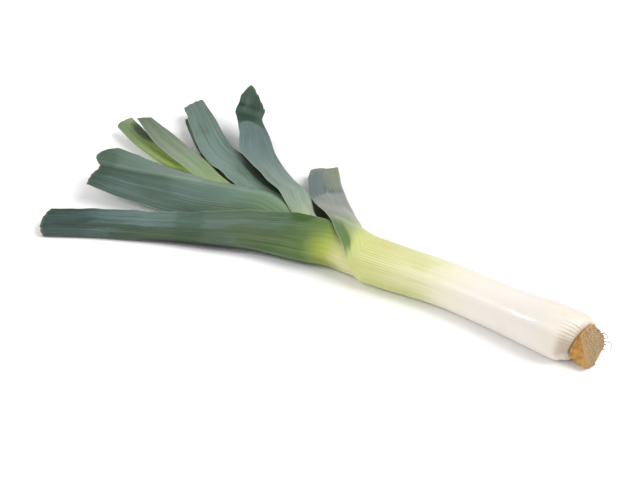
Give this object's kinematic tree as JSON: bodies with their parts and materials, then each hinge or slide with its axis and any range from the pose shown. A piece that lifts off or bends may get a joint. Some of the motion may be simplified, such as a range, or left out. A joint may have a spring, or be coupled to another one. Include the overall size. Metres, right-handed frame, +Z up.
{
  "type": "leek",
  "caption": "Whole leek lying on its side, white rolled shaft with a trimmed root plate and a fan of folded green leaf blades cut off at their ends.",
  "frame": {"origin": "middle of the flat strip under the shaft, on the surface that the leek lies on", "axes": "+X along the shaft towards the root plate, leaves towards -X, +Z up, -Y towards the rank of the two dark front leaves"},
  "size_m": [0.4727, 0.2249, 0.0444],
  "materials": {
    "pale_sheath": "satin, waxy, creamy white turning yellow-green towards the leaves",
    "blue_green_blade": "matt, waxy bloom, blue-green with fine ribs",
    "grey_green_blade": "matt, waxy bloom, grey-green with fine ribs",
    "yellow_green_blade": "matt, yellow-green with fine ribs",
    "root_plate": "matt, dry cut stem, tan to ochre"
  },
  "bodies": {
    "root": {"shaft_with_outer_leaf": "pale_sheath", "leaf_2_front": "blue_green_blade", "leaf_3_back": "grey_green_blade", "leaf_4_front": "blue_green_blade", "leaf_5_back": "grey_green_blade", "leaf_6_front": "yellow_green_blade", "leaf_7_back": "grey_green_blade", "root_plate_with_roots": "root_plate"}
  },
  "joints": []
}
